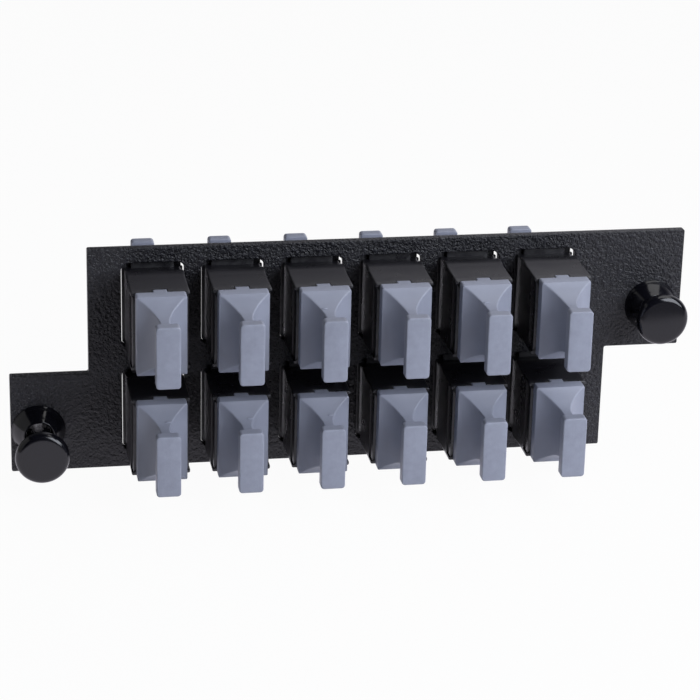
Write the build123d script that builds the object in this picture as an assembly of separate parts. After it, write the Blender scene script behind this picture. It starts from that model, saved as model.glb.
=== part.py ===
# Fibre adapter plate: a stepped steel plate with two rows of duplex fibre adapters, each closed
# front and rear by a dust cap, and a push-pull latch in the tab at each end.
#
# Frame: origin on the left latch's axis at the plate's rear face, +X towards the right latch,
# +Y to the rear, +Z up. The front of the plate faces -Y. Lengths are millimetres.
import math
import os

from build123d import *

# Plate: a body round two rows of cut-outs, and a tab at each end
columns = 6
plate_thickness = 1.5
plate_corner_radius = 0.3
body_end_margin = 5.7
body_edge_margin = 2.75
column_web = 2.78
row_web = 3.7
column_shift = -0.25
row_rise = 0.2
left_tab_length = 12.8
left_tab_height = 16.8
right_tab_length = 12.7
right_tab_height = 20.2
cutout_side_clearance = 0.4
cutout_end_clearance = 0.7
cutout_corner_radius = 1.2

# Latches
latch_left_inset = 4.5
latch_right_inset = 5.15
latch_height = 7.15
collar_radius = 4.4
collar_shoulder_radius = 4.1
collar_nose_radius = 3.1
collar_height = 2.6
collar_nose_height = 1.0
barrel_radius = 3.15
barrel_length = 4.5
barrel_tip_chamfer = 0.5
barrel_root = 0.5
barrel_slot_width = 0.7
barrel_slots = 4
shank_step = 0.4
shank_clearance = 0.05
stem_radius = 1.9
stem_clearance = 0.075
stem_tip_reach = 0.4
knob_radius = 4.35
knob_length = 5.3
knob_rim = 0.8
knob_face_step = 0.4
knob_waist_radius = 2.3
knob_waist_length = 1.9
knob_rest_gap = 0.3
latch_travel = 4.2

# Adapters
adapter_width = 9.4
adapter_height = 13.0
adapter_front_length = 12.15
adapter_rear_length = 5.2
neck_gap = 1.5
neck_side_step = 0.15
neck_end_step = 0.4
shell_rear_radius = 0.8
rib_width = 4.0
rib_rise = 0.3
rim_recess_depth = 0.25
rim_recess_length = 2.0
rear_side_step = 0.45
lug_width = 8.6
lug_height = 2.7
lug_overlap = 1.0
lug_thickness = 1.2
lug_clearance = 0.05
pad_width = 7.0
port_side_wall = 1.4
port_end_wall = 1.8
key_width = 2.5
key_depth = 1.4
key_relief_width = 4.0
key_relief_depth = 0.35

# Inner guide and its alignment sleeves
guide_length = 6.6
guide_wall = 0.6
guide_rear_engagement = 2.4
guide_web = 1.0
guide_clearance = 0.05
pocket_step = 0.4
tube_wall = 0.5
sleeve_radius = 0.95
sleeve_bore_radius = 0.625
sleeve_length = 6.4
sleeve_slot = 0.25
sleeve_rim_wall = 0.375
sleeve_sides = 12

# Dust caps: a flange, a concave flare down to a thin neck, and a grip bar across its end
cap_flange_side_step = 0.7
cap_flange_lip = 0.05
cap_flange_thickness = 2.3
cap_flare_length = 4.6
cap_neck_width = 1.6
cap_neck_height = 8.0
cap_neck_length = 3.3
cap_bar_width = 3.85
cap_bar_height = 10.1
cap_bar_thickness = 2.0
cap_bar_corner_radius = 0.45
cap_seat_gap = 0.05
plug_clearance = 0.1
plug_end_clearance = 0.3
key_clearance = 0.1

# Planes along Y, worked out from the sizes above
plate_front = -plate_thickness
adapter_front = plate_front - adapter_front_length
adapter_rear = adapter_rear_length
joint_plane = plate_front - neck_gap
guide_rear = joint_plane + guide_rear_engagement
guide_front = guide_rear - guide_length
guide_middle = (guide_front + guide_rear) / 2
lug_front = lug_clearance
lug_rear = lug_front + lug_thickness
front_port_depth = guide_front - adapter_front
rear_port_depth = adapter_rear - guide_rear
plug_length = min(front_port_depth, rear_port_depth) - plug_end_clearance

# Cut-outs, and the plate's size round them
cutout_width = adapter_width + 2 * cutout_side_clearance
cutout_height = adapter_height + 2 * cutout_end_clearance
column_pitch = cutout_width + column_web
row_pitch = cutout_height + row_web
body_length = columns * cutout_width + (columns - 1) * column_web + 2 * body_end_margin
plate_length = left_tab_length + body_length + right_tab_length
plate_height = 2 * cutout_height + row_web + 2 * body_edge_margin

# Places in the plate's plane
plate_left = -latch_left_inset
plate_right = plate_left + plate_length
plate_bottom = -latch_height
plate_top = plate_bottom + plate_height
latch_right_x = plate_right - latch_right_inset
latch_right_z = plate_top - right_tab_height + latch_height
body_left = plate_left + left_tab_length
body_right = plate_right - right_tab_length
grid_middle_x = (body_left + body_right) / 2 + column_shift
grid_middle_z = (plate_bottom + plate_top) / 2 + row_rise
column_places = [grid_middle_x + column_pitch * (i - (columns - 1) / 2) for i in range(columns)]
row_places = {
    "lower": grid_middle_z - row_pitch / 2,
    "upper": grid_middle_z + row_pitch / 2,
}
shank_radius = barrel_radius + shank_step
latch_hole_radius = shank_radius + shank_clearance

# Sections of the adapters and their caps
port_width = adapter_width - 2 * port_side_wall
port_height = adapter_height - 2 * port_end_wall
guide_width = port_width + 2 * pocket_step
guide_height = port_height + 2 * pocket_step
tube_bore = 2 * (sleeve_radius + guide_clearance)
sleeve_spacing = guide_height - 2 * guide_wall - 2 * sleeve_rim_wall - tube_bore
cap_flange_width = adapter_width - 2 * cap_flange_side_step
cap_flange_height = adapter_height + 2 * cap_flange_lip
plug_width = port_width - 2 * plug_clearance
plug_height = port_height - 2 * plug_clearance


def block(width, height, front, rear, radius=0.0):
    """A block from the front plane to the rear plane, with its section centred in XZ."""
    if radius > 0:
        section = RectangleRounded(width, height, radius)
    else:
        section = Rectangle(width, height)
    return extrude(Plane.XZ.offset(-rear) * section, amount=rear - front)


def cylinder_along_y(radius, front, rear):
    """A round bar along Y from the front plane to the rear plane."""
    return extrude(Plane.XZ.offset(-rear) * Circle(radius), amount=rear - front)


def plate():
    """The stepped plate with its rounded cut-outs and two latch holes."""
    outline = make_face(
        Polyline(
            (plate_left, plate_bottom),
            (body_right, plate_bottom),
            (body_right, plate_top - right_tab_height),
            (plate_right, plate_top - right_tab_height),
            (plate_right, plate_top),
            (body_left, plate_top),
            (body_left, plate_bottom + left_tab_height),
            (plate_left, plate_bottom + left_tab_height),
            close=True,
        )
    )
    outline = fillet(outline.vertices(), plate_corner_radius)
    blank = extrude(Plane.XZ * outline, amount=plate_thickness)
    cutout = block(cutout_width, cutout_height, 2 * plate_front, plate_thickness, cutout_corner_radius)
    cutouts = [Pos(x, 0, z) * cutout for x in column_places for z in row_places.values()]
    hole = cylinder_along_y(latch_hole_radius, 2 * plate_front, plate_thickness)
    holes = [hole, Pos(latch_right_x, 0, latch_right_z) * hole]
    return blank - cutouts - holes


def latch_grommet():
    """The latch's collar in front of the plate and its slotted barrel behind it."""
    collar_front = plate_front - collar_height
    bore_radius = stem_radius + stem_clearance
    profile = make_face(
        Polyline(
            (bore_radius, collar_front),
            (collar_nose_radius, collar_front),
            (collar_shoulder_radius, collar_front + collar_nose_height),
            (collar_radius, plate_front),
            (shank_radius, plate_front),
            (shank_radius, 0),
            (barrel_radius, 0),
            (barrel_radius, barrel_length - barrel_tip_chamfer),
            (barrel_radius - barrel_tip_chamfer, barrel_length),
            (bore_radius, barrel_length),
            close=True,
        )
    )
    body = revolve(profile, axis=Axis.Y)
    slot = Pos(0, barrel_root, 0) * Box(
        barrel_slot_width,
        barrel_length,
        2 * barrel_radius,
        align=(Align.CENTER, Align.MIN, Align.MIN),
    )
    turns = [Rot(0, 360 * (i + 0.5) / barrel_slots, 0) for i in range(barrel_slots)]
    return body - [turn * slot for turn in turns]


def latch_plunger(pulled_out):
    """The push-pull knob, its flared neck and the stem that spreads the barrel's legs."""
    neck_rear = plate_front - collar_height - knob_rest_gap
    face = neck_rear - knob_length
    rim_front = face + knob_face_step
    rim_rear = rim_front + knob_rim
    tip = barrel_length + stem_tip_reach
    profile = make_face(
        Polyline(
            (0, face),
            (knob_radius - knob_face_step, face),
            (knob_radius, rim_front),
            (knob_radius, rim_rear),
            (knob_waist_radius, neck_rear - knob_waist_length),
            (stem_radius, neck_rear),
            (stem_radius, tip - stem_tip_reach),
            (stem_radius - stem_tip_reach, tip),
            (0, tip),
            close=True,
        )
    )
    return Pos(0, -pulled_out, 0) * revolve(profile, axis=Axis.Y)


def key_notch(mouth):
    """The slot through a shell's top wall that takes the cap's key, with a wide shallow relief."""
    slot = Pos(0, mouth) * Rectangle(key_width, 2 * key_depth)
    relief = Pos(0, mouth) * Rectangle(key_relief_width, 2 * key_relief_depth)
    return extrude(slot + relief, amount=adapter_height)


def port(front, rear):
    """The straight port through a shell, with the wider pocket that holds the guide."""
    pocket_width = guide_width + 2 * guide_clearance
    pocket_height = guide_height + 2 * guide_clearance
    return block(port_width, port_height, front - 1, rear + 1) + block(
        pocket_width, pocket_height, max(front - 1, guide_front), min(rear + 1, guide_rear)
    )


def crossed(plan, side, width, height):
    """The solid that has one outline seen from above and another seen from the side."""
    tall = extrude(plan, amount=height, both=True)
    wide = extrude(Plane.YZ * side, amount=width, both=True)
    return tall & wide


def front_shell():
    """The shell in front of the plate: square at its mouth, with rounded ribs near the plate."""
    half_width = adapter_width / 2
    half_height = adapter_height / 2
    rib_front = joint_plane - rib_width
    crest = (joint_plane - rib_width / 2, half_height + rib_rise)
    middle = (adapter_front + joint_plane) / 2
    plan = Pos(0, middle) * Rectangle(adapter_width, joint_plane - adapter_front)
    plan = fillet(plan.vertices().sort_by(Axis.Y)[-2:], shell_rear_radius)
    upper = make_face(
        Polyline(
            (joint_plane, half_height),
            (joint_plane, 0),
            (adapter_front, 0),
            (adapter_front, half_height),
            (rib_front, half_height),
        )
        + ThreePointArc((rib_front, half_height), crest, (joint_plane, half_height))
    )
    side = upper + mirror(upper, about=Plane.XZ)
    body = crossed(plan, side, half_width + 1, half_height + rib_rise + 1)
    recess = Box(2 * rim_recess_depth, 2 * rim_recess_length, adapter_height - 2 * rim_recess_depth)
    body -= [Pos(side * half_width, adapter_front, 0) * recess for side in (1, -1)]
    return body - port(adapter_front, joint_plane) - key_notch(adapter_front)


def rear_shell():
    """The shell that passes through the plate, with a lug above and below that bears on its rear."""
    neck_width = adapter_width - 2 * neck_side_step
    neck_height = adapter_height - 2 * neck_end_step
    pad_height = cutout_height - 2 * lug_clearance
    lug_place = (cutout_height - lug_height) / 2 + lug_overlap
    lug = block(lug_width, lug_height, lug_front, lug_rear)
    body = block(neck_width, neck_height, joint_plane, lug_front)
    body += block(adapter_width - 2 * rear_side_step, adapter_height, lug_front, adapter_rear)
    body += block(pad_width, pad_height, plate_front / 2, lug_front)
    body += [Pos(0, 0, side * lug_place) * lug for side in (1, -1)]
    return body - port(joint_plane, adapter_rear) - key_notch(adapter_rear)


def ferrule_guide():
    """The bridge between the two shells: a rim, a web and two square tubes for the sleeves."""
    tube = block(tube_bore + 2 * tube_wall, tube_bore + 2 * tube_wall, guide_front, guide_rear)
    bore = block(tube_bore, tube_bore, guide_front - 1, guide_rear + 1)
    rim = block(guide_width, guide_height, guide_front, guide_rear)
    rim -= block(guide_width - 2 * guide_wall, guide_height - 2 * guide_wall, guide_front - 1, guide_rear + 1)
    body = rim + block(guide_width, guide_height, guide_middle - guide_web / 2, guide_middle + guide_web / 2)
    places = [Pos(0, 0, side * sleeve_spacing / 2) for side in (1, -1)]
    return body + [place * tube for place in places] - [place * bore for place in places]


def alignment_sleeve():
    """A split tube that lines up the two ferrules pushed in from either side.

    There are two in each adapter, out of sight, so flats stand in for its round wall."""
    front = guide_middle - sleeve_length / 2
    rear = guide_middle + sleeve_length / 2
    section = RegularPolygon(sleeve_radius, sleeve_sides) - RegularPolygon(sleeve_bore_radius, sleeve_sides)
    tube = extrude(Plane.XZ.offset(-rear) * section, amount=rear - front)
    slot = Pos(sleeve_radius, guide_middle, 0) * Box(2 * sleeve_radius, 2 * sleeve_length, sleeve_slot)
    return tube - slot


def grip_outline(flange_half, neck_half):
    """A cap's grip seen from one side: flange, concave flare and neck, seated on y = 0."""
    flare_rear = -cap_flange_thickness
    flare_front = flare_rear - cap_flare_length
    neck_front = flare_front - cap_neck_length
    drop = flange_half - neck_half
    flare_radius = (drop**2 + cap_flare_length**2) / (2 * drop)
    middle_along = cap_flare_length / 2
    middle_across = neck_half + flare_radius - math.sqrt(flare_radius**2 - middle_along**2)
    middle = (middle_across, flare_front + middle_along)
    half = make_face(
        Polyline((0, 0), (flange_half, 0), (flange_half, flare_rear))
        + ThreePointArc((flange_half, flare_rear), middle, (neck_half, flare_front))
        + Polyline((neck_half, flare_front), (neck_half, neck_front), (0, neck_front), (0, 0))
    )
    return half + mirror(half, about=Plane.YZ)


def dust_cap():
    """A cap with its seat on the XZ plane: the grip points to -Y and the plug to +Y."""
    plan = grip_outline(cap_flange_width / 2, cap_neck_width / 2)
    side = Rot(0, 0, -90) * grip_outline(cap_flange_height / 2, cap_neck_height / 2)
    body = crossed(plan, side, cap_flange_width, cap_flange_height)
    bar_rear = -cap_flange_thickness - cap_flare_length - cap_neck_length
    bar_front = bar_rear - cap_bar_thickness
    bar = block(cap_bar_width, cap_bar_height, bar_front, bar_rear, cap_bar_corner_radius)
    plug = block(plug_width, plug_height, -cap_flange_thickness / 2, plug_length)
    key_top = adapter_height / 2
    key = Pos(0, 0, key_top) * Box(
        key_width - 2 * key_clearance,
        key_depth - key_clearance + cap_seat_gap,
        key_top,
        align=(Align.CENTER, Align.MIN, Align.MAX),
    )
    body = body + bar + plug + key
    return Pos(0, -cap_seat_gap, 0) * body


def save(name, shape):
    """Writes one node's solids to its STEP file."""
    export_step(shape, os.path.join("parts", name + ".step"))


def main():
    os.makedirs("parts", exist_ok=True)
    save("plate", plate())
    grommet = latch_grommet()
    save("latch_grommet_left", grommet)
    save("latch_grommet_right", Pos(latch_right_x, 0, latch_right_z) * grommet)
    save("latch_plunger_left", latch_plunger(latch_travel))
    save("latch_plunger_right", Pos(latch_right_x, 0, latch_right_z) * latch_plunger(0))

    front = front_shell()
    rear = rear_shell()
    guide = ferrule_guide()
    sleeve = alignment_sleeve()
    cap = dust_cap()
    for row, z in row_places.items():
        guides = []
        sleeves = []
        for column, x in enumerate(column_places, start=1):
            place = Pos(x, 0, z)
            save(f"front_shell_{row}_{column}", place * front)
            save(f"rear_shell_{row}_{column}", place * rear)
            save(f"front_cap_{row}_{column}", place * Pos(0, adapter_front, 0) * cap)
            save(f"rear_cap_{row}_{column}", place * Pos(0, adapter_rear, 0) * Rot(0, 0, 180) * cap)
            guides.append(place * guide)
            sleeves += [place * Pos(0, 0, side * sleeve_spacing / 2) * sleeve for side in (1, -1)]
        save(f"ferrule_guides_{row}", Compound(children=guides))
        save(f"alignment_sleeves_{row}", Compound(children=sleeves))


main()
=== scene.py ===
import math

import bmesh
import bpy
import numpy as np
from mathutils import Matrix, Vector
from mathutils.geometry import tessellate_polygon


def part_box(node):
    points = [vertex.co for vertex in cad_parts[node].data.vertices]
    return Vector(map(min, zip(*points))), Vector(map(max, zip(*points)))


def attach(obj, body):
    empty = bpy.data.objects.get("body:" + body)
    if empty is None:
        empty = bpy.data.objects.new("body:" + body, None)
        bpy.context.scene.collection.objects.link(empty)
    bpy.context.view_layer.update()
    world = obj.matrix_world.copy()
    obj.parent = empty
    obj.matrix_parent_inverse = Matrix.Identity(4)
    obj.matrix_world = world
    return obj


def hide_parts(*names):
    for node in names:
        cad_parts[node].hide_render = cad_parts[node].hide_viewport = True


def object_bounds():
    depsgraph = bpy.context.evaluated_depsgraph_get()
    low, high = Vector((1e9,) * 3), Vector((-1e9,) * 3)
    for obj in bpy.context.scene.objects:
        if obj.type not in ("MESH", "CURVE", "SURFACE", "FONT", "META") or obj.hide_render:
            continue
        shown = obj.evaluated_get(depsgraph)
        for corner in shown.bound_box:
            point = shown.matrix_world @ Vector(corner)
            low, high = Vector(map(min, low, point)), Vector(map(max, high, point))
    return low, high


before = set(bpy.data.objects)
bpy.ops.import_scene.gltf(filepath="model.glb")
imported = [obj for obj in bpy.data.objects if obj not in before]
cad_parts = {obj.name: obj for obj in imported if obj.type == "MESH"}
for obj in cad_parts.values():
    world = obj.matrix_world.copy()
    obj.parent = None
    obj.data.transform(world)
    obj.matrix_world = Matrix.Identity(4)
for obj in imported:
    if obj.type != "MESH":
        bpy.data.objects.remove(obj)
cad_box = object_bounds()

bl_info = {
    "name": "Fibre adapter plate",
    "version": (1, 0, 0),
    "blender": (4, 5, 0),
    "location": "View3D > Sidebar > Adapter Plate",
    "description": "Dresses the solids of a fibre adapter plate with rounded, textured pieces",
    "category": "Object",
}

PLACES = tuple((row, column) for row in ("lower", "upper") for column in range(1, 7))
SIDES = ("left", "right")
ENDS = ("front", "rear")
RIGHT, TOP, LEFT, BOTTOM, CORNER = range(5)
# The side of the flare on which the mould's gate has left a stub: -1 is left, 1 is right
GATE_SIDES = {
    ("front", "upper", 3): -1, ("front", "upper", 5): -1,
    ("front", "lower", 1): 1, ("front", "lower", 2): 1, ("front", "lower", 3): 1,
}
# Each soft light: name, turn to the right and rise in degrees, distance and size in metres, power, tint
LIGHTS = (
    ("Key light", 42, 28, 0.55, 0.42, "key_power", (0.94, 0.98, 1.08)),
    ("Top light", 80, 62, 0.2, 0.13, "top_power", (1, 1, 1)),
    ("Side light", -90, 6, 0.55, 0.9, "side_power", (1, 1, 1)),
)
WHITE = (1.0, 1.0, 1.0)
ROOM_TINT = (0.93, 0.92, 1.0)
SHEET_TINT = (0.93, 0.9, 1.0)
# How far the white sheet takes to fade out, and the gap from a corner's arc to the next point, in metres
SHEET_FADE = 0.02
CORNER_GAP = 0.0001
# Degrees above which an edge looks sharp, on most pieces and on the latches
SHARP = 38.0
LATCH_SHARP = 50.0
# Share of edge painted lighter along the long edges of the caps and of the shells, as wear and as a painted
# highlight
CAP_EDGE_WEAR_AND_HIGHLIGHT = 0.8
SHELL_EDGE_WEAR_AND_HIGHLIGHT = 0.7


def length(name, description, millimetres):
    """A size property with its default given in millimetres."""
    return bpy.props.FloatProperty(
        name=name, description=description, default=millimetres / 1000, unit="LENGTH", precision=5
    )


def angle(name, description, degrees):
    """An angle property with its default given in degrees."""
    return bpy.props.FloatProperty(
        name=name, description=description, default=math.radians(degrees), subtype="ANGLE", unit="ROTATION"
    )


def share(name, description, default):
    """A plain number from 0 to 1."""
    return bpy.props.FloatProperty(name=name, description=description, default=default, min=0, max=1)


def number(name, description, default):
    """A plain number."""
    return bpy.props.FloatProperty(name=name, description=description, default=default)


def colour(name, description, default):
    """A colour property, red, green and blue as the shader reads them."""
    return bpy.props.FloatVectorProperty(
        name=name, description=description, default=default, subtype="COLOR", size=3, min=0, max=1
    )


class StageSettings(bpy.types.PropertyGroup):
    camera_turn: angle("Camera turn", "Turn of the camera to the right; a minus value is left", -10.29)
    camera_rise: angle("Camera rise", "How far the camera looks down on the plate", 21.05)
    camera_roll: angle("Camera roll", "Turn of the picture about the line of sight", 1.39)
    camera_distance: length("Camera distance", "From the camera to the point that it looks at", 418.61)
    camera_lens: number("Lens", "Focal length on a 36 mm wide picture, in millimetres", 130.34)
    aim_x: length("Aim across", "Point that the camera looks at, along the plate", 51.41)
    aim_y: length("Aim depth", "Point that the camera looks at, front to rear", -1.5)
    aim_z: length("Aim height", "Point that the camera looks at, upwards", 11.85)
    floor_radius: length("Floor radius", "How far the floor reaches round the plate", 6000.0)
    shadow_share: share("Shadow", "How much of the shadow on the floor the camera sees", 0.04)
    sheet_front: length("White sheet", "How far the floor is white in front of the plate", 72.0)
    floor_front: share("Floor in front", "Brightness of the floor in front of the white sheet", 0.25)
    floor_colour: colour("Floor colour", "Colour of the floor", (0.75, 0.75, 0.75))
    room_front: number("Room in front", "Brightness of the room in front of the plate", 0.01)
    room_rear: number("Room behind", "Brightness of the white backdrop behind the plate", 0.8)
    key_power: number("Key light", "Power of the soft light, front right, in watts", 3.0)
    top_power: number("Top light", "Power of the soft light, high on the right, in watts", 0.085)
    side_power: number("Side light", "Power of the soft light at the left end, in watts", 0.8)


class PlateSettings(bpy.types.PropertyGroup):
    left_tab_length: length("Left tab length", "From the plate's left end to its body", 12.8)
    left_tab_height: length("Left tab height", "Height of the left tab", 16.8)
    right_tab_length: length("Right tab length", "From the body to the plate's right end", 12.7)
    right_tab_height: length("Right tab height", "Height of the right tab", 20.2)
    cutout_width: length("Cut-out width", "Width of the adapters' cut-outs", 10.2)
    cutout_height: length("Cut-out height", "Height of the adapters' cut-outs", 14.4)
    cutout_radius: length("Cut-out radius", "Rounding of the cut-outs' corners", 1.2)
    hole_radius: length("Hole radius", "Radius of the latches' holes", 3.6)
    corner_radius: length("Corner radius", "Rounding of the plate's outline", 0.3)
    edge_radius: length("Edge radius", "Rounding that the coat gives the sheet's edges", 0.18)
    coat_colour: colour("Coat colour", "Black powder coat", (0.006, 0.006, 0.0085))
    coat_roughness: share("Coat roughness", "Roughness of the powder coat", 0.31)
    wrinkle_size: length("Wrinkle size", "Distance between the wrinkles of the coat", 0.5)
    wrinkle_depth: length("Wrinkle depth", "Height of the wrinkles of the coat", 0.2)


class AdapterSettings(bpy.types.PropertyGroup):
    edge_radius: length("Edge radius", "Rounding of the adapters' moulded edges", 0.18)
    outline_radius: length("Outline radius", "Rounding of the adapters' long edges", 0.22)
    rear_radius: length("Rear radius", "Rounding of the front shell's upright edges near the plate", 0.8)
    rib_width: length("Rib width", "Width of the rib across the shell near the plate", 4.0)
    rib_rise: length("Rib rise", "Height of that rib", 0.3)
    recess_depth: length("Recess depth", "Depth of the recess on each side of the mouth", 0.25)
    recess_length: length("Recess length", "Length of that recess", 2.0)
    recess_margin: length("Recess margin", "From the recess to the shell's top and bottom", 0.5)
    port_width: length("Port width", "Width of the port", 6.6)
    port_height: length("Port height", "Height of the port", 9.4)
    port_lead: length("Port lead-in", "Chamfer round the port's mouth", 0.2)
    pocket_step: length("Pocket step", "How much wider the guide's pocket is than the port, each side", 0.45)
    key_width: length("Key width", "Width of the notch for the key", 2.5)
    key_depth: length("Key depth", "Depth of the notch for the key", 1.4)
    relief_width: length("Relief width", "Width of the shallow relief round the notch", 4.0)
    relief_depth: length("Relief depth", "Depth of that relief", 0.35)
    neck_end_step: length("Neck step", "How much lower the neck is than the front shell, top and bottom", 0.4)
    rear_side_step: length("Rear step", "How much narrower the rear shell is, on each side", 0.45)
    lug_width: length("Lug width", "Width of the lugs behind the plate", 9.4)
    lug_thickness: length("Lug thickness", "Thickness of those lugs", 1.2)
    lug_gap: length("Lug gap", "Gap between the plate's rear and the lugs", 0.05)
    pad_width: length("Pad width", "Width of the pads that fill the cut-out's height", 7.0)
    pad_length: length("Pad length", "Length of those pads in front of the lugs", 0.8)
    rib_gap: length("Side rib gap", "Gap between the neck's side ribs and the cut-out", 0.16)
    side_rib_length: length("Side rib length", "Length of those ribs in front of the lugs", 0.35)
    left_rib_height: length("Left rib height", "Height of the neck's left rib", 13.4)
    right_rib_height: length("Right rib height", "Height of the neck's right rib", 12.2)
    plastic_colour: colour("Adapter colour", "Black adapter plastic", (0.011, 0.0105, 0.0135))
    plastic_roughness: share("Adapter roughness", "Roughness of the adapter plastic", 0.3)


class CapSettings(bpy.types.PropertyGroup):
    flange_thickness: length("Flange thickness", "Thickness of the cap's flange", 2.3)
    flare_length: length("Flare length", "Length of the hollow flare from flange to neck", 4.6)
    neck_width: length("Neck width", "Width of the thin neck", 1.6)
    neck_height: length("Neck height", "Height of the thin neck", 8.0)
    bar_width: length("Bar width", "Width of the grip bar", 3.85)
    bar_height: length("Bar height", "Height of the grip bar", 10.1)
    bar_thickness: length("Bar thickness", "Thickness of the grip bar", 2.0)
    bar_corner: length("Bar corner", "Rounding of the grip bar's outline", 0.5)
    plug_width: length("Plug width", "Width of the plug in the port", 6.4)
    plug_height: length("Plug height", "Height of the plug in the port", 9.2)
    key_width: length("Key width", "Width of the key on top of the plug", 2.3)
    key_length: length("Key length", "Length of that key", 1.3)
    key_top: length("Key top", "Height of the key's top above the cap's middle", 6.5)
    key_height: length("Key height", "Height of the key, down into the plug", 2.2)
    edge_radius: length("Edge radius", "Rounding of the cap's edges", 0.2)
    corner_radius: length("Corner radius", "Rounding of the flange's and plug's corners", 0.3)
    ridge_radius: length("Ridge radius", "Rounding of the ridges of the flare", 0.2)
    gate_radius: length("Gate radius", "Half the length of the stub that the mould's gate leaves", 0.5)
    gate_height: length("Gate height", "Height of that stub", 0.16)
    gate_place: length("Gate place", "From the neck to that stub, along the cap", 2.2)
    gate_inset: length("Gate inset", "From the flare's ridge to that stub", 0.65)
    cap_colour: colour("Cap colour", "Blue grey cap plastic", (0.285, 0.303, 0.372))
    cap_roughness: share("Cap roughness", "Roughness of the cap plastic", 0.42)


class LatchSettings(bpy.types.PropertyGroup):
    lip_height: length("Lip height", "Thickness of the collar's rim on the plate", 0.3)
    lip_rounding: length("Lip rounding", "Rounding of that rim and of the knob's rear edge", 0.2)
    shoulder_step: length("Shoulder step", "From the collar's rim in to its cone", 0.12)
    nose_radius: length("Nose radius", "Radius of the collar's nose, where its cone ends", 2.65)
    nose_rounding: length("Nose rounding", "Rounding of that nose", 0.2)
    bore_radius: length("Mouth radius", "Radius of the collar's mouth", 2.2)
    bore_depth: length("Mouth depth", "Depth at which the mouth has closed in on the stem", 1.7)
    stem_radius: length("Stem radius", "Radius of the plunger's stem", 1.9)
    stem_gap: length("Stem gap", "Gap round the plunger's stem", 0.075)
    stem_tip: length("Stem tip", "Chamfer at the stem's tip", 0.4)
    waist_radius: length("Waist radius", "Radius of the neck behind the knob", 2.3)
    waist_length: length("Waist length", "Length of that neck", 1.9)
    knob_length: length("Knob length", "From the knob's face to the end of its neck", 5.3)
    knob_rim: length("Knob rim", "Height of the knob's straight side", 0.02)
    rim_radius: length("Rim radius", "Rounding of the knob's face", 1.1)
    dome_rise: length("Dome rise", "Rise of the knob's face at its middle", 0.1)
    barrel_radius: length("Barrel radius", "Radius of the slotted barrel", 3.15)
    barrel_root: length("Barrel root", "From the plate's rear to the end of the barrel's slots", 0.5)
    slot_width: length("Slot width", "Width of the barrel's slots", 0.7)
    tip_chamfer: length("Tip chamfer", "Chamfer at the barrel's end", 0.5)
    hole_gap: length("Hole gap", "Gap round the latch in the plate's hole", 0.05)
    nylon_colour: colour("Latch colour", "Black nylon", (0.005, 0.005, 0.0075))
    nylon_roughness: share("Latch roughness", "Roughness of the nylon", 0.12)


SETTINGS = {
    "stage": StageSettings,
    "plate": PlateSettings,
    "adapter": AdapterSettings,
    "cap": CapSettings,
    "latch": LatchSettings,
}


def settings_of(context, part):
    """The settings of one part, kept on the scene."""
    return getattr(context.scene, "adapter_plate_" + part)


# Surfaces

def arc(start, end, steps):
    """Angles in even steps from one to the other, both ends included."""
    return np.linspace(start, end, steps + 1)


def full_turn(steps):
    """Angles all the way round, as one row."""
    return np.linspace(0, 2 * math.pi, steps, endpoint=False)[None, :]


def straight_run(flat, stops):
    """Places along one side of each outline: one near each end, and the stops between them."""
    near_end = np.maximum(flat - CORNER_GAP, 0.6 * flat)[:, None]
    middle = np.clip(np.asarray(stops, float)[None, :], -near_end, near_end)
    return np.hstack([-near_end, middle, near_end])


def rounded_outlines(half_x, half_z, radius, stops_x=(), stops_z=(), steps=4):
    """One rounded rectangle for each station, all with the same number of points.

    A point on a side is at half_x or half_z and at its place along the run. A point on a corner is the
    corner's centre plus radius times the cosine and sine of its angle. The outlines run anticlockwise
    as seen from the front. Returns x and z, one row for each station, and the side of each column."""
    half_x, half_z, radius = np.broadcast_arrays(
        *(np.atleast_1d(np.asarray(v, float)) for v in (half_x, half_z, radius))
    )
    flat_x, flat_z = half_x - radius, half_z - radius
    run_x = straight_run(flat_x, stops_x)
    run_z = straight_run(flat_z, stops_z)
    wide = np.ones_like(run_z)
    high = np.ones_like(run_x)
    turn = arc(0, math.pi / 2, steps)
    xs, zs, side = [], [], []

    def add(x, z, label):
        xs.append(x)
        zs.append(z)
        side.extend([label] * x.shape[1])

    def corner(sign_x, sign_z, start):
        angles = turn + start
        x = (sign_x * flat_x)[:, None] + radius[:, None] * np.cos(angles)
        z = (sign_z * flat_z)[:, None] + radius[:, None] * np.sin(angles)
        add(x, z, CORNER)

    add(half_x[:, None] * wide, run_z, RIGHT)
    corner(1, 1, 0)
    add(-run_x, half_z[:, None] * high, TOP)
    corner(-1, 1, math.pi / 2)
    add(-half_x[:, None] * wide, -run_z, LEFT)
    corner(-1, -1, math.pi)
    add(run_x, -half_z[:, None] * high, BOTTOM)
    corner(1, -1, 3 * math.pi / 2)
    return np.hstack(xs), np.hstack(zs), np.array(side)


def stack(x, y, z):
    """One grid of points from grids of x, y and z, any of which may be a single row or column."""
    return np.stack(np.broadcast_arrays(x, y, z), axis=-1)


def grid_quads(rows, columns, rows_close):
    """The quads that join neighbours on a grid whose columns close, and whose rows close if asked to."""
    i = np.arange(rows if rows_close else rows - 1)[:, None]
    j = np.arange(columns)[None, :]
    here = i * columns
    down = (i + 1) % rows * columns
    right = (j + 1) % columns
    return np.stack([here + j, here + right, down + right, down + j], axis=-1).reshape(-1, 4)


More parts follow.
